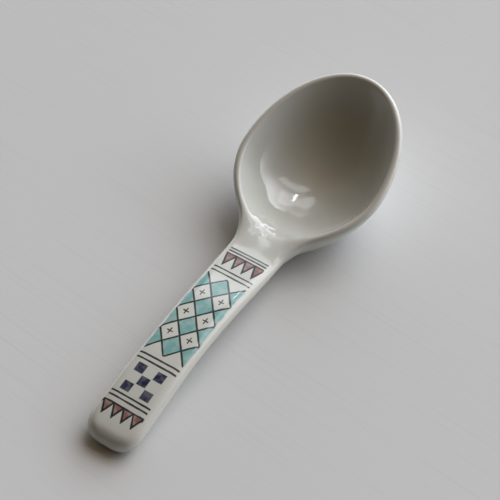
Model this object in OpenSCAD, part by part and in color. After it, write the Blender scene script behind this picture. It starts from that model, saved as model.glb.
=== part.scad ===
// A small porcelain serving spoon, in millimetres. Both parts are clay, joined at the neck and
// fired as one. The x axis runs along the spoon to the front of the bowl, y to its left and z up.
// The origin is the centre of the flat foot under the bowl, on the table.

/* [Bowl] */
// Distance from the foot's centre to the front of the rim
tip_reach = 29.8; // [27:0.2:33]
// Width across the rim at its widest line
rim_w = 44.6; // [40:0.2:49]
// Distance of the widest line behind the foot's centre
widest_back = 1; // [0:0.5:3]
// Height of the rim above the table, over the foot's centre
rim_h = 16.4; // [14.6:0.1:18]
// Upward tilt of the rim towards the front, in degrees
rim_tilt = 17.8; // [14:0.2:20]
// Thickness of the rounded lip
lip_t = 2.4; // [1.9:0.1:2.8]
// Thickness of the floor over the foot
floor_t = 2.6; // [2:0.1:3.4]
// Steepness of the wall inside, just under the lip, in degrees
wall_angle = 68; // [60:1:74]
// Width across the flat round foot
foot_d = 13; // [10:0.5:16]

/* [Neck] */
// Distance behind the foot's centre at which the outline turns from hollow to bulging
turn_x = 20.4; // [19.4:0.2:22]
// Width of the outline at that turn
turn_w = 23.6; // [21.6:0.2:25.6]
// Angle between the outline and the long axis at that turn, in degrees
turn_angle = 47; // [41:1:53]
// Distance behind the foot's centre at which the bowl meets the straight handle
neck_x = 30; // [28:0.5:32]
// Distance behind the foot's centre at which the floor begins to rise to the handle's level
throat_x = 20; // [18:0.2:22]
// Fall of the top from the meeting line to the edge of the throat
throat_drop = 1.3; // [0.8:0.1:1.8]
// Softness of the turn between the throat's edge and the lip
throat_blend = 2.8; // [1.6:0.2:3.6]
// Slope of the floor at the throat's edge, in degrees
throat_angle = 22; // [16:1:28]
// Angle from the long axis at which the throat's edge has risen to the lip, in degrees
throat_spread = 56; // [44:1:64]
// Angle from the long axis at which the wall is at its steepest, in degrees
wall_spread = 90; // [70:1:110]
// Length over which the tilted rim eases into the handle's top
rim_blend = 3; // [2:0.2:4]

/* [Handle] */
// Length of the handle from the meeting line to its end
handle_len = 70; // [62:0.5:78]
// Width of the handle where it meets the bowl
neck_w = 15.6; // [14:0.2:17]
// Width of the handle at its middle, where it is narrowest
waist_w = 14.6; // [13.4:0.2:15.8]
// Width of the handle before its rounded end
end_w = 15.4; // [14:0.2:17]
// Height of the handle's top above the table where it meets the bowl
top_neck_h = 7.3; // [6.7:0.1:8]
// Height of the handle's top above the table at its middle
top_mid_h = 10.2; // [9.2:0.1:11.2]
// Height of the handle's top above the table at its end
top_end_h = 4.8; // [4.4:0.1:5.6]
// Thickness of the handle away from its end
strap_t = 5.7; // [5:0.1:6.2]
// Length of the rounded end
end_len = 8; // [6:0.5:11]
// Length of the flat under the end that rests on the table, from where the tip's rounding ends
rest_len = 6; // [4:0.5:8]
// Length over which the underside rises from that flat
rest_blend = 20; // [14:1:28]

/* [Rounding] */
// Width of the rounded upper shoulder of the handle
shoulder_w = 2.8; // [2.2:0.1:3.6]
// Height of the rounded upper shoulder of the handle
shoulder_h = 2.4; // [1.8:0.1:2.6]
// Width of the ellipse that leads from the edge into the outside, round the whole outline
turn_round_w = 3; // [2:0.2:3.8]
// Height of that ellipse under the lip
turn_round_h = 3; // [2:0.2:4]
// Length over which the top and underside round off at the handle's tip
tip_round = 3; // [2:0.2:4]

/* [Hidden] */

// Colour of the glazed clay
glaze = [0.86, 0.85, 0.82];

// How far each curve of the outline keeps its starting direction, as shares of its reach
tip_round_share = 0.53;
front_side_share = 0.57;
back_side_share = 0.5;
turn_in_share = 0.25;
turn_out_share = 0.28;
neck_straight_share = 0.29;

// How far the floor and the walls keep their starting direction, as shares of their span
floor_share = 0.5;
wall_share = 0.42;
foot_share = 0.45;
// Largest part of its own height that a wall falls in its starting direction, and the least slope
// that this limit counts with
fall_share = 0.7;
least_slope = 0.07;
// Length over which the crest's slope is taken, as a share of the rim's blend
slope_share = 0.2;

// Where the lip starts and ends its change into the handle's shoulder, and where the curve under it
// starts its own, which ends at the meeting line, as shares of the neck's distance
edge_start_share = 0.8;
edge_end_share = 1.6;
sweep_start_share = 0.42;
// Half-width of the throat's own egg, as a share of the rim's
throat_egg_share = 1.02;
throat_egg_power = 2.1;
// How far wall and crest keep their direction towards each other, as shares of the gap between them
wall_end_share = 0.33;
crest_flat_share = 0.5;
// Where the neck's section starts to take over from the bowl's, as a share of the neck's distance
neck_start_share = 0.25;
// Sweep of the curve below the edge, in degrees, on the bowl and on the handle
lip_sweep = 20;
strap_sweep = 60;
// Shape of the underside's section: the share of its width that is flat, and how it curves up
under_flat_share = 0.3;
rest_flat_share = 0.45;
under_power = 2.2;
// Angle from the long axis at which the outside is all bowl, in degrees
neck_spread = 60;
// Squareness of the handle's rounded end
end_power = 3;

// Steps along each stretch of the outline
front_steps = 15;
back_steps = 11;
neck_steps = 10;
seam_steps = 12;
// Steps down each section
inner_steps = 13;
crest_steps = 3;
shoulder_steps = 4;
under_steps = 4;
outer_steps = 11;
// Rings along the handle's straight part and its rounded end
strap_rings = 22;
end_rings = 10;

function mix(a, b, t) = a + (b - a) * t;
function ease(t) = let (c = min(1, max(0, t))) c * c * (3 - 2 * c);
function soft_max(a, b, k) = max(a, b) + pow(max(k - abs(a - b), 0), 2) / (4 * k);
function bez(p, t) = pow(1 - t, 3) * p[0] + 3 * t * pow(1 - t, 2) * p[1]
    + 3 * t * t * (1 - t) * p[2] + pow(t, 3) * p[3];
function bez_way(p, t) = pow(1 - t, 2) * (p[1] - p[0]) + 2 * t * (1 - t) * (p[2] - p[1])
    + t * t * (p[3] - p[2]);
function unit(v) = v / norm(v);

// Heights along the spoon: the handle's arched top, the crest of rim and handle, the underside, and
// how much of the underside's fall to the flat under the end has been made
function arch_z(x) = let (t = (-x - neck_x) / handle_len)
    top_neck_h * (1 - t) * (1 - 2 * t) + 4 * top_mid_h * t * (1 - t) + top_end_h * t * (2 * t - 1);
function crest_z(x) = soft_max(rim_h + x * tan(rim_tilt), arch_z(x), rim_blend);
function crest_slope(x) = let (d = rim_blend * slope_share)
    (crest_z(x + d / 2) - crest_z(x - d / 2)) / d;
function end_x() = -neck_x - handle_len;
function rest_part(x) = 1 - ease((x - end_x() - tip_round - rest_len) / rest_blend);
function under_z(x) = (crest_z(x) - strap_t) * (1 - rest_part(x));

// The outline of the rim and neck seen from above, on the left side, in three curves
function front_curve() = [
    [tip_reach, 0],
    [tip_reach, rim_w / 2 * tip_round_share],
    [mix(-widest_back, tip_reach, front_side_share), rim_w / 2],
    [-widest_back, rim_w / 2]];
function turn_way() = [-cos(turn_angle), -sin(turn_angle)];
function turn_point() = [-turn_x, turn_w / 2];
function back_curve() = [
    [-widest_back, rim_w / 2],
    [mix(-widest_back, -turn_x, back_side_share), rim_w / 2],
    turn_point() - turn_way() * turn_in_share * (turn_x - widest_back),
    turn_point()];
function neck_curve() = [
    turn_point(),
    turn_point() + turn_way() * turn_out_share * (neck_x - turn_x),
    [mix(-neck_x, -turn_x, neck_straight_share), neck_w / 2],
    [-neck_x, neck_w / 2]];

// One entry per point of the left outline: the point and its outward direction
function outward(way) = unit([way[1], -way[0]]);
function stretch(curve, steps, last) = [for (i = [0:steps - last])
    [bez(curve, i / steps), outward(bez_way(curve, i / steps))]];
left_side = concat(
    stretch(front_curve(), front_steps, 1),
    stretch(back_curve(), back_steps, 1),
    stretch(neck_curve(), neck_steps, 0));

// A curve in an upright plane through the foot's centre: level at the centre, sloped at its far end
function ray_curve(from, to, rise, keep) = let (
        r0 = norm([from[0], from[1]]), r1 = norm([to[0], to[1]]),
        h = -soft_max(-wall_share * norm([r1 - r0, to[2] - from[2]]),
            -fall_share * (to[2] - from[2]) / max(sin(rise), least_slope), throat_blend))
    [[r0, from[2]], [mix(r0, r1, keep), from[2]], [r1 - h * cos(rise), to[2] - h * sin(rise)],
        [r1, to[2]]];
function on_ray(to, rz) = let (d = unit([to[0], to[1]])) [d[0] * rz[0], d[1] * rz[0], rz[1]];

// Rounding of the edge at a point of the outline, from lip to handle shoulder
function change(x, start, end) = ease((-x / neck_x - start) / (end - start));
function edge_w(x) = mix(lip_t / 2, shoulder_w, change(x, edge_start_share, edge_end_share));
function edge_h(x) = mix(lip_t / 2, shoulder_h, change(x, edge_start_share, edge_end_share));
function sweep_at(x) = mix(lip_sweep, strap_sweep, change(x, sweep_start_share, 1));

// The underside's section, from 0 on the axis to 1 at the widest point
function section(t, flat) = let (q = min(1, max(0, (t - flat) / (1 - flat))))
    1 - sqrt(1 - pow(q, under_power));

// The outside under the neck: its line along the axis, and its section across
outline = [for (s = left_side) s[0]];
axis_curve = ray_curve([foot_d / 2, 0, 0], [neck_x, 0, under_z(-neck_x)],
    atan(-crest_slope(-neck_x)), foot_share);
axis_line = [for (j = [0:outer_steps]) bez(axis_curve, j / outer_steps)];
function neck_under(x, y) = let (low = lookup(-x, axis_line), high = crest_z(x) - edge_h(x))
    mix(low, high, section(abs(y) / lookup(x, outline), under_flat_share));

// The edge itself: from the crest out to the widest point, then down and in under it
function away(p) = atan2(abs(p[1]), -p[0]);
function bowl_part(p, corner) = let (q = away([-neck_x, corner]))
    ease((away(p) - q) / (neck_spread - q));
function edge(p, n) = let (
        a = edge_w(p[0]), b = edge_h(p[0]), s = sweep_at(p[0]), z = crest_z(p[0]))
    concat(
        [for (j = [0:shoulder_steps]) let (q = 90 * j / shoulder_steps, o = p - n * a * (1 - sin(q)))
            [o[0], o[1], z - b * (1 - cos(q))]],
        [for (j = [1:under_steps])
            let (q = s * j / under_steps, o = p - n * turn_round_w * (1 - cos(q)))
            [o[0], o[1], mix(neck_under(o[0], o[1]), z - b - turn_round_h * sin(q),
                bowl_part(p, neck_w / 2))]]);

// The meeting line's own edges run down its flat face between the two corners
seam_top = neck_w / 2 - edge_w(-neck_x);
seam_low = neck_w / 2 - turn_round_w * (1 - cos(strap_sweep));
function seam_edge(k) = let (
        s = 1 - 2 * k / seam_steps, steps = shoulder_steps + under_steps,
        low = neck_under(-neck_x, s * seam_low))
    [for (j = [0:steps]) [-neck_x, s * mix(seam_top, seam_low, j / steps),
        mix(crest_z(-neck_x), low, j / steps)]];

// The throat's egg, and how steep the wall is, by the direction from the foot's centre
function lip_part(p) = ease(away(p) / throat_spread);
function wall_part(p) = ease(away(p) / wall_spread);
function egg_reach(q) = q > 90 ? rim_w : 1 / pow(
    pow(abs(cos(q)) / throat_x, throat_egg_power)
        + pow(sin(q) / (rim_w / 2 * throat_egg_share), throat_egg_power),
    1 / throat_egg_power);

// The inside: from the floor's centre up to the start of the crest, then over to the crest
function inner_end(top) = let (
        d = unit([top[0], top[1]]), lip_reach = norm([top[0], top[1]]) - lip_t / 2 * sin(wall_angle),
        r = -soft_max(-lip_reach, -egg_reach(away(top)), throat_blend))
    [d[0] * r, d[1] * r, mix(crest_z(-neck_x) - throat_drop,
        top[2] - lip_t / 2 * (1 - cos(wall_angle)), lip_part(top))];
function inner_ray(top, rise) = let (
        e = inner_end(top), g = mix(throat_angle, wall_angle, wall_part(top)),
        c = ray_curve([0, 0, floor_t], e, g, floor_share),
        d = unit([e[0], e[1]]), gap = norm(top - e))
    concat(
        [for (j = [1:inner_steps]) on_ray(e, bez(c, j / inner_steps))],
        [for (j = [1:crest_steps - 1]) bez([e,
            e + [d[0] * cos(g), d[1] * cos(g), sin(g)] * gap * wall_end_share,
            top - [d[0], d[1], rise] * gap * crest_flat_share, top], j / crest_steps)]);

// The top of the neck: its line along the axis, and its section across, level at the crests
crest_line = [for (s = left_side) s[0] - s[1] * edge_w(s[0][0])];
floor_line = [for (p = inner_ray([-neck_x, 0, crest_z(-neck_x)], -crest_slope(-neck_x))) [-p[0], p[2]]];
function neck_top(x, y) = mix(lookup(-x, floor_line), crest_z(x), ease(abs(y) / lookup(x, crest_line)));
function near_seam(x) = ease((-x / neck_x - neck_start_share) / (1 - neck_start_share));
function inner(top, rise) = let (neck_part = 1 - bowl_part(top, seam_top))
    [for (p = inner_ray(top, rise))
        [p[0], p[1], mix(p[2], neck_top(p[0], p[1]), near_seam(p[0]) * neck_part)]];

// The outside: from under the edge down to the flat foot, as bowl or as neck
function outer(low, rise, part) = let (
        d = unit([low[0], low[1]]), f = [d[0] * foot_d / 2, d[1] * foot_d / 2, 0],
        c = ray_curve(f, low, rise, foot_share))
    [for (j = [1:outer_steps]) let (p = on_ray(low, bez(c, 1 - j / outer_steps)))
        [p[0], p[1], mix(neck_under(p[0], p[1]), p[2], part)]];
function outer_rise(low, n) = atan(turn_round_h * cos(lip_sweep) / (turn_round_w * sin(lip_sweep))
    * (unit([low[0], low[1]]) * n));

// One column of points from the floor, over the edge and down to the foot. The crest keeps its own
// slope where a column runs along it
function crest_rise(top, n, x) = crest_slope(x) * n[1] * (unit([top[0], top[1]]) * [n[1], -n[0]]);
function side_column(p, n) = let (e = edge(p, n), low = e[len(e) - 1])
    concat(inner(e[0], crest_rise(e[0], n, p[0])), e, outer(low, outer_rise(low, n),
        bowl_part(p, neck_w / 2)));
function seam_column(e) = concat(inner(e[0], -crest_slope(-neck_x)), e, outer(e[len(e) - 1], 0, 0));
function flip(v) = [v[0], -v[1]];
side_count = len(left_side);
columns = concat(
    [for (s = left_side) side_column(s[0], s[1])],
    [for (k = [1:seam_steps - 1]) seam_column(seam_edge(k))],
    [for (i = [side_count - 1:-1:1]) side_column(flip(left_side[i][0]), flip(left_side[i][1]))]);

// Faces of a closed net of rings, each ring with the same number of points
function net(rings, count) = [for (i = [0:rings - 2], j = [0:count - 1], half = [0:1])
    let (a = i * count + j, b = i * count + (j + 1) % count)
    half == 0 ? [a, b, b + count] : [a, b + count, a + count]];
function fan(pole, start, count, turn) = [for (j = [0:count - 1])
    let (a = start + j, b = start + (j + 1) % count) turn ? [pole, b, a] : [pole, a, b]];

module bowl() {
    count = len(columns);
    rings = len(columns[0]);
    points = concat([for (j = [0:rings - 1], i = [0:count - 1]) columns[i][j]],
        [[0, 0, floor_t], [0, 0, 0]]);
    faces = concat(
        net(rings, count),
        fan(rings * count, 0, count, true),
        fan(rings * count + 1, (rings - 1) * count, count, false));
    color(glaze) polyhedron(points, faces);
}

// Width of the handle and heights of its section, with the rounded end
function strap_w(x) = let (t = (-x - neck_x) / handle_len)
    mix(mix(neck_w, waist_w, ease(2 * t)), end_w, ease(2 * t - 1));
function end_share(x) = max(0, (-x - neck_x - handle_len + end_len) / end_len);
function half_w(x) = strap_w(x) / 2 * pow(1 - pow(end_share(x), end_power), 1 / end_power);
function tip_fall(x) = let (t = max(0, (-x - neck_x - handle_len + tip_round) / tip_round))
    1 - sqrt(1 - t * t);
function top_at(x) = crest_z(x) - shoulder_h * tip_fall(x);
function under_at(x) = under_z(x) + (top_end_h - shoulder_h) * tip_fall(x);

// One ring of the handle's section, in the order of the bowl's meeting line
function ring(x) = let (
        w = half_w(x), top = top_at(x), low = under_at(x),
        a = min(edge_w(x), w / 2), c = min(turn_round_w, w / 2), b = min(edge_h(x), (top - low) / 2),
        flat = mix(under_flat_share, rest_flat_share, rest_part(x)),
        edge_y = w - c * (1 - cos(strap_sweep)),
        side = concat(
            [for (j = [0:shoulder_steps]) let (q = 90 * j / shoulder_steps)
                [w - a * (1 - sin(q)), top - b * (1 - cos(q))]],
            [for (j = [1:under_steps]) let (y = w - c * (1 - cos(strap_sweep * j / under_steps)))
                [y, mix(low, top - b, section(y / w, flat))]]),
        last = len(side) - 1)
    concat(
        [for (k = [0:seam_steps - 1]) [x, (w - a) * (1 - 2 * k / seam_steps), top]],
        [for (j = [0:last - 1]) [x, -side[j][0], side[j][1]]],
        [for (k = [0:seam_steps - 1]) let (y = -edge_y * (1 - 2 * k / seam_steps))
            [x, y, mix(low, top - b, section(abs(y) / w, flat))]],
        [for (j = [last:-1:1]) [x, side[j][0], side[j][1]]]);

ring_places = concat(
    [for (i = [0:strap_rings - 1]) mix(-neck_x, end_x() + end_len, i / strap_rings)],
    [for (i = [0:end_rings - 1]) end_x() + end_len * (1 - sin(90 * i / end_rings))]);

module handle() {
    rings = [for (x = ring_places) ring(x)];
    count = len(rings[0]);
    points = concat([for (r = rings) each r],
        [[end_x(), 0, (top_at(end_x()) + under_at(end_x())) / 2]]);
    faces = concat(
        net(len(rings), count),
        [[for (j = [count - 1:-1:0]) j]],
        fan(len(rings) * count, (len(rings) - 1) * count, count, false));
    color(glaze) polyhedron(points, faces);
}

bowl();
handle();
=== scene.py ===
# %% [markdown]
# A small porcelain spoon
#
# This lesson dresses a small glazed serving spoon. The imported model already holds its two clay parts,
# the bowl and the handle, at their real size. Here they get a smooth skin, a clear glaze, a painted
# handle, a pale table, soft window light and a camera. Everything is in metres, with the origin at the
# centre of the foot under the bowl, +X towards the bowl's front and +Z up.

import math

import bmesh
import bpy
from mathutils import Matrix, Vector


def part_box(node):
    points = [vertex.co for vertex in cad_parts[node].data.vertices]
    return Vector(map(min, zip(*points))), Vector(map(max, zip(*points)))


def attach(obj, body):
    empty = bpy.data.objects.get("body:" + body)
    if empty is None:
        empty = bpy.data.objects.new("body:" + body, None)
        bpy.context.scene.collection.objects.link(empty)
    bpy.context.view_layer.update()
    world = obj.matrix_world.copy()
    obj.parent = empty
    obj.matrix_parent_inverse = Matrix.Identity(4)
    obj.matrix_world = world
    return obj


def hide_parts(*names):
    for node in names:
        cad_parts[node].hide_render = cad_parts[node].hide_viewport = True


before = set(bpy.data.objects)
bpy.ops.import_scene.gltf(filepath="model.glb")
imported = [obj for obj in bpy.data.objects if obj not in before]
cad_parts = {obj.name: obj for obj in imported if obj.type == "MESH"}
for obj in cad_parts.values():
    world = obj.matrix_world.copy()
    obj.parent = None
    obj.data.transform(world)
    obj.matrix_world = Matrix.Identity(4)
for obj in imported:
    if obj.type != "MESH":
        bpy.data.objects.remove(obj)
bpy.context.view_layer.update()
MM = 0.001
print("parts in the frame:", sorted(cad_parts))

# %% [markdown]
# One skin for two parts
#
# On the real spoon the joint at the neck is smoothed over while the clay is damp, and the glaze then
# runs across it, so no line shows. If each part were smoothed alone, its surface would turn at its own
# cut face and the gloss would show a seam. So both parts are poured into one mesh first, their two
# touching faces are taken away, and the rings of points on either side are merged.

# %% Pour both parts into one mesh
PARTS = ["bowl", "handle"]
SEAM_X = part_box("handle")[1].x
TOUCH = 0.002 * MM

skin = bmesh.new()
part_mark = skin.faces.layers.int.new("part")
for number, part in enumerate(PARTS):
    poured = len(skin.faces)
    skin.from_mesh(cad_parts[part].data)
    skin.faces.ensure_lookup_table()
    for face in skin.faces[poured:]:
        face[part_mark] = number


def on_seam(face):
    return all(abs(vert.co.x - SEAM_X) < TOUCH for vert in face.verts)


bmesh.ops.delete(skin, geom=[face for face in skin.faces if on_seam(face)], context="FACES")
bmesh.ops.remove_doubles(skin, verts=skin.verts, dist=TOUCH)
open_edges = [edge for edge in skin.edges if not edge.is_manifold]
print("triangles:", len(skin.faces), "open edges:", len(open_edges))

# %% [markdown]
# From triangles to smooth clay
#
# Triangles subdivide into lumps, while four-sided faces subdivide into an even surface, so the
# triangles are first joined in pairs. The foot's edge is creased, because there the glaze is wiped off
# and the potter leaves a crisp turn. A Subdivision Surface modifier then gives the soft, continuous
# curves that a gloss needs, and its result is kept as a mesh.

# %% Pair the triangles and crease the foot
FOOT_TOP = 0.01 * MM
FOOT_END = -60 * MM
FACES_DOWN = -0.999
LEVELS = 2

bmesh.ops.join_triangles(
    skin, faces=skin.faces, angle_face_threshold=math.pi, angle_shape_threshold=math.pi)
crease = skin.edges.layers.float.new("crease_edge")
for edge in skin.edges:
    low = [vert.co.z < FOOT_TOP and vert.co.x > FOOT_END for vert in edge.verts]
    flat = [face.normal.z < FACES_DOWN for face in edge.link_faces]
    if all(low) and any(flat) and not all(flat):
        edge[crease] = 1.0
print("faces:", len(skin.faces), "creased edges:", sum(edge[crease] > 0 for edge in skin.edges))

# %% Subdivide the skin
skin_mesh = bpy.data.meshes.new("skin")
skin.to_mesh(skin_mesh)
skin.free()
blank = bpy.data.objects.new("skin", skin_mesh)
bpy.context.scene.collection.objects.link(blank)
smoothing = blank.modifiers.new("smoothing", "SUBSURF")
smoothing.levels = LEVELS
smoothing.render_levels = LEVELS
finished = blank.evaluated_get(bpy.context.evaluated_depsgraph_get())
smooth_mesh = bpy.data.meshes.new_from_object(finished)
bpy.data.objects.remove(blank)
print("smooth faces:", len(smooth_mesh.polygons))

# %% [markdown]
# An even mirror
#
# The inside of the bowl mirrors the window, and a mirror shows the faintest unevenness. A potter wipes
# it with a damp sponge, so it is more even than the few points of the model. The direction that each
# point inside faces is therefore averaged with its neighbours' directions, many times over. Its place
# stays as it is, and so do the lip and the throat.

# %% Even out the directions inside the bowl
bowl_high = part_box("bowl")[1]
RIM_TILT = math.radians(17.8)
FACES_UP = 0.1
EVEN_TURNS = 50
EVEN_DEPTH = 1.5 * MM
EVEN_END = -22 * MM


def under_rim(x, z):
    return bowl_high.z - z - (bowl_high.x - x) * math.tan(RIM_TILT)


whole = bmesh.new()
whole.from_mesh(smooth_mesh)
whole.normal_update()
ways = [vert.normal.copy() for vert in whole.verts]
neighbours = {
    vert.index: [edge.other_vert(vert).index for edge in vert.link_edges] for vert in whole.verts
    if vert.normal.z > FACES_UP and vert.co.x > EVEN_END
    and under_rim(vert.co.x, vert.co.z) > EVEN_DEPTH}
for turn in range(EVEN_TURNS):
    fresh = {
        index: sum((ways[other] for other in others), ways[index]).normalized()
        for index, others in neighbours.items()}
    for index, way in fresh.items():
        ways[index] = way
whole.free()
way_layer = smooth_mesh.attributes.new("way", "FLOAT_VECTOR", "POINT")
for entry, way in zip(way_layer.data, ways):
    entry.vector = way
print("directions evened inside the bowl:", len(neighbours))

# %% [markdown]
# Back to two pieces
#
# The bowl and the handle are cut apart again, so that each stands for its own part, and the cut is
# closed. Each point keeps the direction that was stored on the whole skin, as a custom normal, so light
# runs over the neck as if nothing had been cut. How far a point faces up is kept as well: the painter's
# colours later use it to stay on top of the handle.

# %% Cut out one piece
def cut_out(part):
    piece = bmesh.new()
    piece.from_mesh(smooth_mesh)
    mark = piece.faces.layers.int["part"]
    way = piece.verts.layers.float_vector["way"]
    upward = piece.verts.layers.float.new("upward")
    for vert in piece.verts:
        vert[upward] = vert[way].z
    others = [face for face in piece.faces if face[mark] != PARTS.index(part)]
    bmesh.ops.delete(piece, geom=others, context="FACES")
    rim = [edge for edge in piece.edges if edge.is_boundary]
    cap = bmesh.ops.holes_fill(piece, edges=rim)["faces"]
    for face in cap:
        face.material_index = 1
    mesh = bpy.data.meshes.new(part + "_surface")
    piece.to_mesh(mesh)
    piece.free()
    return mesh


def keep_directions(mesh):
    mesh.polygons.foreach_set("use_smooth", [True] * len(mesh.polygons))
    ways = [tuple(entry.vector) for entry in mesh.attributes["way"].data]
    directions = [None] * len(mesh.loops)
    for polygon in mesh.polygons:
        cap = polygon.material_index == 1
        for loop in polygon.loop_indices:
            directions[loop] = tuple(polygon.normal) if cap else ways[mesh.loops[loop].vertex_index]
        polygon.material_index = 0
    mesh.normals_split_custom_set(directions)


# %% Make the bowl and the handle
pieces = {}
for part in PARTS:
    mesh = cut_out(part)
    keep_directions(mesh)
    pieces[part] = bpy.data.objects.new(part + "_surface", mesh)
    bpy.context.scene.collection.objects.link(pieces[part])
    print(part, "faces:", len(mesh.polygons))

# %% [markdown]
# Shader maths as plain expressions
#
# A node material is a small calculation. Written with one node per line it is long and hard to read,
# so a number in the material is wrapped in a small class. Adding, subtracting or multiplying such
# numbers adds the Math nodes, and any other node comes from one method of the material.

# %% A number in a material
class Value:
    def __init__(self, shade, socket):
        self.shade = shade
        self.socket = socket

    def math(self, operation, *numbers):
        return self.shade.node("Math", {"operation": operation}, numbers)

    def power_of_e(self):
        return self.math("EXPONENT", self)

    def __add__(self, other):
        return self.math("ADD", self, other)

    def __radd__(self, other):
        return self.math("ADD", other, self)

    def __sub__(self, other):
        return self.math("SUBTRACT", self, other)

    def __rsub__(self, other):
        return self.math("SUBTRACT", other, self)

    def __mul__(self, other):
        return self.math("MULTIPLY", self, other)

    def __rmul__(self, other):
        return self.math("MULTIPLY", other, self)

    def __truediv__(self, other):
        return self.math("DIVIDE", self, other)

    def size(self):
        return self.math("ABSOLUTE", self)

    def floor(self):
        return self.math("FLOOR", self)

    def part_of_one(self):
        return self.math("FRACT", self)

    def most(self, other):
        return self.math("MAXIMUM", self, other)


# %% A material, or the light of a room
class Shade:
    def __init__(self, owner, surface="Principled BSDF"):
        owner.use_nodes = True
        self.owner = owner
        self.tree = owner.node_tree
        self.surface = self.tree.nodes[surface]

    def put(self, socket, value):
        if isinstance(value, Value):
            self.tree.links.new(value.socket, socket)
        else:
            socket.default_value = value

    def node(self, kind, settings=None, sockets=(), out=0):
        made = self.tree.nodes.new("ShaderNode" + kind)
        for name, setting in (settings or {}).items():
            setattr(made, name, setting)
        pairs = sockets.items() if isinstance(sockets, dict) else enumerate(sockets)
        for name, value in pairs:
            self.put(made.inputs[name], value)
        return Value(self, made.outputs[out])

    def finish(self, sockets):
        for name, value in sockets.items():
            self.put(self.surface.inputs[name], value)

    def place(self):
        return self.node("TexCoord", out="Object")

    def place_around(self):
        return self.node("TexCoord", out="Generated")

    def tint(self, colour, strength):
        return self.node("VectorMath", {"operation": "SCALE"}, {"Vector": colour[:3], "Scale": strength})

    def axes(self, vector):
        return [self.node("SeparateXYZ", sockets=[vector], out=out) for out in range(3)]

    def rise(self, value, low, high):
        return self.node("MapRange", {"interpolation_type": "SMOOTHSTEP"}, [value, low, high])

    def noise(self, vector, size, detail=1.0, out=0):
        sockets = {"Vector": vector, "Scale": 1 / size, "Detail": detail}
        return self.node("TexNoise", sockets=sockets, out=out)

    def blend(self, mask, under, over):
        return self.node("Mix", {"data_type": "RGBA"}, {0: mask, 6: under, 7: over}, 2)


# %% [markdown]
# Glaze over clay
#
# Glazed porcelain is a matt white body under a thin layer of glass, so its shader is a pale base with
# a clear, nearly smooth gloss. Three things keep it from looking like plastic. The glass runs thin over
# the lip and the handle's shoulders, where the body shows a little warmer. It pools and clouds
# elsewhere, faintly cool. And its surface is never quite even, which bends the reflections.

# %% Colours and sizes of the glaze
BODY = (0.690, 0.702, 0.660, 1)
POOLED = (0.665, 0.687, 0.650, 1)
THIN = (0.695, 0.692, 0.640, 1)
BARE = (0.640, 0.610, 0.550, 1)
GLASS_ROUGHNESS = 0.07
BARE_ROUGHNESS = 0.8
CLOUD_SIZE = 14 * MM
CLOUD_LOW = 0.35
CLOUD_HIGH = 0.65
RUN_SIZE = 9 * MM
PEEL_SIZE = 1.6 * MM
RUN_DEPTH = 0.004 * MM
PEEL_DEPTH = 0.0006 * MM
BARE_HEIGHT = 0.02 * MM

# %% [markdown]
# Both parts share the shoulders' thin glaze. It is full along the handle and fades out over the neck,
# just past the cut, so the colour too runs over the neck without a line.

# %% Thin glaze on the shoulders
SHOULDER = 4.6 * MM
SHOULDER_EDGE = 7.2 * MM
NECK_END = -26 * MM


def thin_shoulders(shade, x, y):
    return shade.rise(y.size(), SHOULDER, SHOULDER_EDGE) * (1 - shade.rise(x, SEAM_X, NECK_END))


# %% Lay the glaze on a part
def glaze(shade, place, thin, ripples=0):
    cloud = shade.rise(shade.noise(place, CLOUD_SIZE, detail=3.0), CLOUD_LOW, CLOUD_HIGH)
    runs = shade.noise(place, RUN_SIZE) * RUN_DEPTH
    peel = shade.noise(place, PEEL_SIZE) * PEEL_DEPTH
    height = runs + peel + ripples
    bump = shade.node("Bump", sockets={"Strength": 1.0, "Distance": 1.0, "Height": height})
    shade.finish({"Roughness": GLASS_ROUGHNESS, "Normal": bump})
    return shade.blend(thin, shade.blend(cloud, BODY, POOLED), THIN)


# %% [markdown]
# The bowl's finish
#
# The bowl is left plain. Its glaze is thin on the lip, found by how far a point lies under the tilted
# plane of the rim. In the throat it gathered while wet and set in a few soft ripples, which catch the
# window. Under the flat foot, where the bowl lies on the table, it is wiped off, and the bare, matt body
# shows.

# %% Finish the bowl
LIP_DEPTH = 1.2 * MM
LIP_START = -22 * MM
LIP_FULL = -16 * MM
RIPPLES_AT = Vector((-20.5, 3.0, 7.0)) * MM
RIPPLES_FULL = 2 * MM
RIPPLES_REACH = 5 * MM
RIPPLE_SIZE = 2.6 * MM
RIPPLE_DEPTH = 0.32 * MM

shade = Shade(bpy.data.materials.new("bowl_glaze"))
place = shade.place()
x, y, z = shade.axes(place)
lip = (1 - shade.rise(under_rim(x, z), 0.0, LIP_DEPTH)) * shade.rise(x, LIP_START, LIP_FULL)
thin = thin_shoulders(shade, x, y) + lip
from_throat = shade.node("VectorMath", {"operation": "DISTANCE"}, [place, RIPPLES_AT], out=1)
in_throat = 1 - shade.rise(from_throat, RIPPLES_FULL, RIPPLES_REACH)
ripples = shade.noise(place, RIPPLE_SIZE) * RIPPLE_DEPTH * in_throat
colour = glaze(shade, place, thin, ripples)
bare = 1 - shade.rise(z, BARE_HEIGHT, 2 * BARE_HEIGHT)
shade.finish({
    "Base Color": shade.blend(bare, colour, BARE),
    "Roughness": GLASS_ROUGHNESS + bare * (BARE_ROUGHNESS - GLASS_ROUGHNESS)})
bowl_glaze = shade.owner
print("nodes in the bowl's finish:", len(shade.tree.nodes))

# %% [markdown]
# The painted handle
#
# The handle carries bands of plain ornament, painted with a fine brush before glazing: fine lines, two
# rows of teeth in dusty pink, a lattice with a teal wash in every other lozenge, and a check in cobalt.
# All of it is worked out in millimetres along and across the handle, from two numbers: how far a point
# lies from the neck, and how far it lies from the middle. A slow noise bends both, as a hand does.

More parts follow.
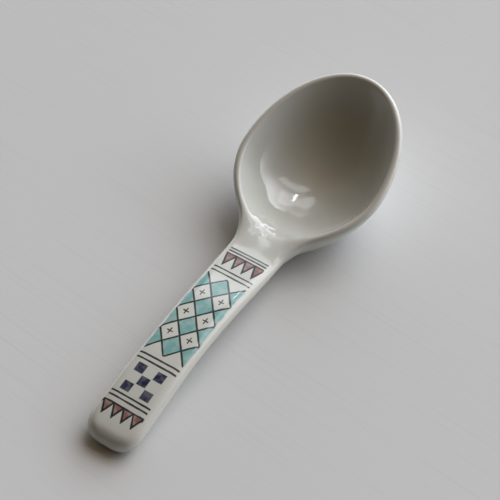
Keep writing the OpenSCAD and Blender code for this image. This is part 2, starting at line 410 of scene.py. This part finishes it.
# %% Measures of the painting
HALF_BAND = 6.0
LINE = 0.52
EDGE = 0.09
HAND = 0.5
HAND_SIZE = 13 * MM
PRESS = 0.5
LIGHTEST_PRESS = 0.25
PRESS_SIZE = 2.5 * MM
WASH_SIZE = 1.8 * MM
END_SIZE = 3 * MM
END_SPREAD = 1.2
END_EDGE = 0.15
EDGE_LINES = [3.0, 4.1, 11.4, 12.9, 45.6, 47.1, 58.0, 59.3]
TEETH = [{"start": 5.2, "height": 4.6, "count": 4}, {"start": 61.0, "height": 3.4, "count": 4}]
LATTICE = {"start": 14.2, "long": 7.5, "wide": 6.0, "count": 4}
TICK_FULL = 1.2
TICK_END = 1.5
CHECK = {"start": 48.2, "square": 2.95, "rows": 3, "columns": 3}
CHECK_GAP = 0.12

INK = (0.010, 0.024, 0.028, 1)
TEAL = (0.205, 0.450, 0.445, 1)
PINK = (0.295, 0.150, 0.135, 1)
COBALT = (0.014, 0.024, 0.075, 1)


# %% Brush strokes and washes
class Brush:
    def __init__(self, shade, place):
        self.shade = shade
        x, y = shade.axes(place)[:2]
        bend = shade.axes(shade.noise(place, HAND_SIZE, out=1))
        self.along = (SEAM_X - x) / MM + (bend[0] - 0.5) * HAND
        self.across = y / MM + (bend[1] - 0.5) * HAND
        self.press = shade.noise(place, PRESS_SIZE, detail=2.0)
        self.cloud = shade.noise(place, WASH_SIZE, detail=3.0)
        self.ends = HALF_BAND + (shade.noise(place, END_SIZE) - 0.5) * END_SPREAD

    def stroke(self, gap):
        half = self.press * LINE * PRESS + LINE * LIGHTEST_PRESS
        return 1 - self.shade.rise(gap.size() - half, -EDGE, EDGE)

    def inside(self, value, low, high):
        return self.shade.rise(value - low, -EDGE, EDGE) * self.shade.rise(high - value, -EDGE, EDGE)

    def across_band(self):
        return 1 - self.shade.rise(self.across.size() - self.ends, -END_EDGE, END_EDGE)


# %% [markdown]
# Each ornament returns a mask that is one where its colour goes. Teeth and lattice return two: one for
# the ink of their lines and one for the wash between them. Teeth, lozenges and squares repeat, so each
# is drawn once inside one cell: the remainder of a division gives the place in the cell.

# %% Fine lines and teeth
def fine_lines(brush):
    mask = brush.stroke(brush.along - EDGE_LINES[0])
    for place_along in EDGE_LINES[1:]:
        mask = mask.most(brush.stroke(brush.along - place_along))
    return mask


def teeth(brush, start, height, count):
    pitch = 2 * HALF_BAND / count
    saw = ((brush.across / pitch).part_of_one() - 0.5).size() * 2
    depth = brush.along - start
    gap = (depth - (1 - saw) * height) * (pitch / math.hypot(pitch, 2 * height))
    band = brush.inside(depth, 0, height + LINE)
    wash = brush.inside(depth, 0, height) * (1 - brush.shade.rise(gap, -EDGE, EDGE))
    ink = brush.stroke(gap).most(brush.stroke(depth)) * band.most(brush.stroke(depth))
    return ink, wash


# %% Lattice and check
def lattice(brush):
    depth = (brush.along - LATTICE["start"]) / LATTICE["long"]
    side = brush.across / LATTICE["wide"]
    reach = LATTICE["long"] * LATTICE["wide"] / math.hypot(LATTICE["long"], LATTICE["wide"])
    rising = depth + side
    falling = depth - side
    gaps = [((way + 0.5).part_of_one() - 0.5) * reach for way in (rising, falling)]
    odd = ((rising.floor() + falling.floor()) / 2).part_of_one() * 2
    band = brush.inside(depth * LATTICE["long"], 0, LATTICE["long"] * LATTICE["count"])
    ink = brush.stroke(gaps[0]).most(brush.stroke(gaps[1])) * band
    tick = [(way.part_of_one() - 0.5) * reach for way in (rising, falling)]
    long_way = tick[0] + tick[1]
    cross_way = tick[0] - tick[1]
    along_tick = brush.stroke(long_way) * (1 - brush.shade.rise(cross_way.size(), TICK_FULL, TICK_END))
    across_tick = brush.stroke(cross_way) * (1 - brush.shade.rise(long_way.size(), TICK_FULL, TICK_END))
    whole = brush.inside(depth, 0.5, LATTICE["count"] - 0.5)
    return ink.most(along_tick.most(across_tick) * odd * whole), (1 - odd) * band


def check(brush):
    square = CHECK["square"]
    rows = (brush.along - CHECK["start"]) / square
    columns = brush.across / square + 0.5
    even = ((rows.floor() + columns.floor()) / 2).part_of_one() * 2
    inset = [(cell.part_of_one() - 0.5).size() * square for cell in (rows, columns)]
    fill = 1 - brush.shade.rise(inset[0].most(inset[1]) - square / 2 + CHECK_GAP, -EDGE, EDGE)
    reach = CHECK["columns"] * square / 2
    return even * fill * brush.inside(rows, 0, CHECK["rows"]) * brush.inside(brush.across, -reach, reach)


# %% [markdown]
# Colour and ink go on in turn, washes first, then lines, and everything stays where the handle faces
# up. A wash is uneven: it is thinner in places, so some of the body shows through it. The cobalt is laid
# on more thickly than the other two.

# %% Finish the handle
PAINT_ENDS = 0.25
PAINT_FULL = 0.4
LEAST_WASH = 0.72
LEAST_COBALT = 0.4
INK_STRENGTH = 0.95

shade = Shade(bpy.data.materials.new("painted_handle"))
place = shade.place()
x, y = shade.axes(place)[:2]
colour = glaze(shade, place, thin_shoulders(shade, x, y))

brush = Brush(shade, place)
upward = shade.node("Attribute", {"attribute_name": "upward"}, out="Fac")
top = shade.rise(upward, PAINT_ENDS, PAINT_FULL) * brush.across_band()
tooth_rows = [teeth(brush, **row) for row in TEETH]
tooth_ink, tooth_wash = [first.most(second) for first, second in zip(*tooth_rows)]
lattice_ink, lattice_wash = lattice(brush)
wet = LEAST_WASH + (1 - LEAST_WASH) * shade.rise(brush.cloud, CLOUD_LOW, CLOUD_HIGH)
thick = LEAST_COBALT + (1 - LEAST_COBALT) * wet
colour = shade.blend(lattice_wash * wet * top, colour, TEAL)
colour = shade.blend(tooth_wash * wet * top, colour, PINK)
colour = shade.blend(check(brush) * thick * top, colour, COBALT)
ink = tooth_ink.most(lattice_ink).most(fine_lines(brush))
colour = shade.blend(ink * top * INK_STRENGTH, colour, INK)
shade.finish({"Base Color": colour})
painted_handle = shade.owner
print("nodes in the handle's finish:", len(shade.tree.nodes))

# %% [markdown]
# Put the pieces in place
#
# Each piece rides on the one body that the spoon is, takes its own finish, and stands for its own clay
# part.

# %% Dress the frame
FINISHES = {"bowl": bowl_glaze, "handle": painted_handle}
for part, piece in pieces.items():
    piece.data.materials.clear()
    piece.data.materials.append(FINISHES[part])
    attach(piece, "root")
    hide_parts(part)
print("pieces:", [piece.name for piece in pieces.values()])

# %% [markdown]
# The table
#
# The spoon lies on a pale grey table with a very fine grain that runs in one direction. It is one large
# flat sheet, so that no edge of it shows, and it keeps the spoon's soft shadow.

# %% Lay the table
TABLE_SIZE = 6.0
TABLE_COLOUR = (0.658, 0.666, 0.668, 1)
TABLE_GRAIN = (0.622, 0.630, 0.632, 1)
TABLE_ROUGHNESS = 0.7
GRAIN_TURN = math.radians(84)
GRAIN_SIZE = Vector((60 * MM, 0.7 * MM, 1.0))
GRAIN_LOW = 0.5
GRAIN_HIGH = 0.8

sheet = bmesh.new()
bmesh.ops.create_grid(sheet, x_segments=1, y_segments=1, size=TABLE_SIZE / 2)
table_mesh = bpy.data.meshes.new("table")
sheet.to_mesh(table_mesh)
sheet.free()
table = bpy.data.objects.new("table", table_mesh)
bpy.context.scene.collection.objects.link(table)

shade = Shade(bpy.data.materials.new("table"))
turned = shade.node("Mapping", {"vector_type": "TEXTURE"}, {
    "Vector": shade.place(), "Rotation": (0, 0, GRAIN_TURN), "Scale": GRAIN_SIZE})
grain = shade.rise(shade.noise(turned, 1.0, detail=3.0), GRAIN_LOW, GRAIN_HIGH)
shade.finish({
    "Base Color": shade.blend(grain, TABLE_COLOUR, TABLE_GRAIN),
    "Roughness": TABLE_ROUGHNESS})
table_mesh.materials.append(shade.owner)
print("table colour:", TABLE_COLOUR[:3])

# %% [markdown]
# Window light
#
# A glaze shows whatever lights it, so here the shape of the light matters as much as its strength. The
# day comes in low, from beyond the bowl, as two broad soft glows that leave the front wall of the bowl
# in shade. A fainter glow on the left and one on the right fill the sides. Two faint panes and one small
# clear gap between them show in the bowl's floor. The ceiling is dim and warm. All of it is painted on
# the world round the table, by direction, because lamps would give the soft glows hard edges in the
# gloss. Every row is measured in degrees: azimuth from +X towards +Y, height above the table, and how
# wide and tall the light is.

# %% Measure the sky round the table
sky = Shade(bpy.data.worlds.new("room"), "Background")
bpy.context.scene.world = sky.owner
way = sky.place_around()


def towards(azimuth, height):
    azimuth, height = math.radians(azimuth), math.radians(height)
    flat = math.cos(height)
    return Vector((math.cos(azimuth) * flat, math.sin(azimuth) * flat, math.sin(height)))


def along(axis):
    return sky.node("VectorMath", {"operation": "DOT_PRODUCT"}, [way, axis], out=1)


# %% Glows and panes
GLOWS = [
    {"azimuth": -20, "height": 37, "wide": 25, "tall": 15, "strength": 4.4},
    {"azimuth": -2, "height": 19, "wide": 24, "tall": 13, "strength": 6.2},
    {"azimuth": 45, "height": 3, "wide": 45, "tall": 9, "strength": 3.4},
    {"azimuth": -52, "height": 20, "wide": 18, "tall": 10, "strength": 3.0}]
PANES = [
    {"azimuth": 14, "height": 44.5, "wide": 28, "tall": 8, "soft": 1.5, "strength": 2.6},
    {"azimuth": -13, "height": 60, "wide": 32, "tall": 8, "soft": 1.5, "strength": 2.6},
    {"azimuth": 12.5, "height": 48, "wide": 1.4, "tall": 2.6, "soft": 0.3, "strength": 30.0}]
CEILING = {"azimuth": -10, "height": 66, "wide": 50, "tall": 30, "strength": 0.35}
GLOW_FADE = 0.3
PANE_FADE = 0.5


def window_axes(azimuth, height):
    middle = towards(azimuth, height)
    level = towards(azimuth + 90, 0)
    return along(middle), along(level), along(middle.cross(level))


def glow(azimuth, height, wide, tall, strength):
    ahead, aside, above = window_axes(azimuth, height)
    aside = aside / math.sin(math.radians(wide))
    above = above / math.sin(math.radians(tall))
    shape = (0 - (aside * aside + above * above)).power_of_e()
    return shape * sky.rise(ahead, 0, GLOW_FADE) * strength


def pane(azimuth, height, wide, tall, soft, strength):
    ahead, aside, above = window_axes(azimuth, height)
    edge = math.radians(soft)
    across = 1 - sky.rise(aside.size() - math.radians(wide / 2), -edge, edge)
    upright = 1 - sky.rise(above.size() - math.radians(tall / 2), -edge, edge)
    return across * upright * sky.rise(ahead, 0, PANE_FADE) * strength


# %% Light the room
DAY_COLOUR = (0.955, 1.0, 1.07, 1)
CEILING_COLOUR = (0.90, 0.48, 0.05, 1)
BACKDROP = (0.78, 0.78, 0.775, 1)

daylight = sum(glow(**row) for row in GLOWS) + sum(pane(**row) for row in PANES)
seen = sky.node("LightPath", out="Is Camera Ray")
warm = sky.tint(CEILING_COLOUR, glow(**CEILING))
cool = sky.tint(DAY_COLOUR, daylight)
sum_up = {"data_type": "RGBA", "blend_type": "ADD", "clamp_result": False}
light = sky.node("Mix", sum_up, {0: 1.0, 6: warm, 7: cool}, 2)
sky.finish({"Color": sky.blend(seen, light, BACKDROP)})
bpy.context.scene.view_settings.view_transform = "Standard"
print("nodes in the sky:", len(sky.tree.nodes))

# %% [markdown]
# The camera
#
# The camera stands where the viewer of the picture stands: close, half above the spoon, looking along
# it from the handle's end, and turned a little. Its place is worked out from the point it looks at.

# %% Set up the camera
LOOK_AT = Vector((-25.16, 4.64, 0)) * MM
LOOK_AZIMUTH = math.radians(30.02)
LOOK_DOWN = math.radians(50)
LOOK_ROLL = math.radians(3.22)
LOOK_DISTANCE = 394.91 * MM
VIEW_ANGLE = math.radians(20)

lens = bpy.data.cameras.new("camera")
lens.angle = VIEW_ANGLE
camera = bpy.data.objects.new("camera", lens)
ahead = Vector((
    math.cos(LOOK_AZIMUTH) * math.cos(LOOK_DOWN),
    math.sin(LOOK_AZIMUTH) * math.cos(LOOK_DOWN),
    -math.sin(LOOK_DOWN)))
camera.location = LOOK_AT - ahead * LOOK_DISTANCE
facing = ahead.to_track_quat("-Z", "Y").to_matrix()
camera.rotation_euler = (facing @ Matrix.Rotation(LOOK_ROLL, 3, "Z")).to_euler()
bpy.context.scene.collection.objects.link(camera)
bpy.context.scene.camera = camera
print("camera at", tuple(round(part / MM, 1) for part in camera.location), "mm")
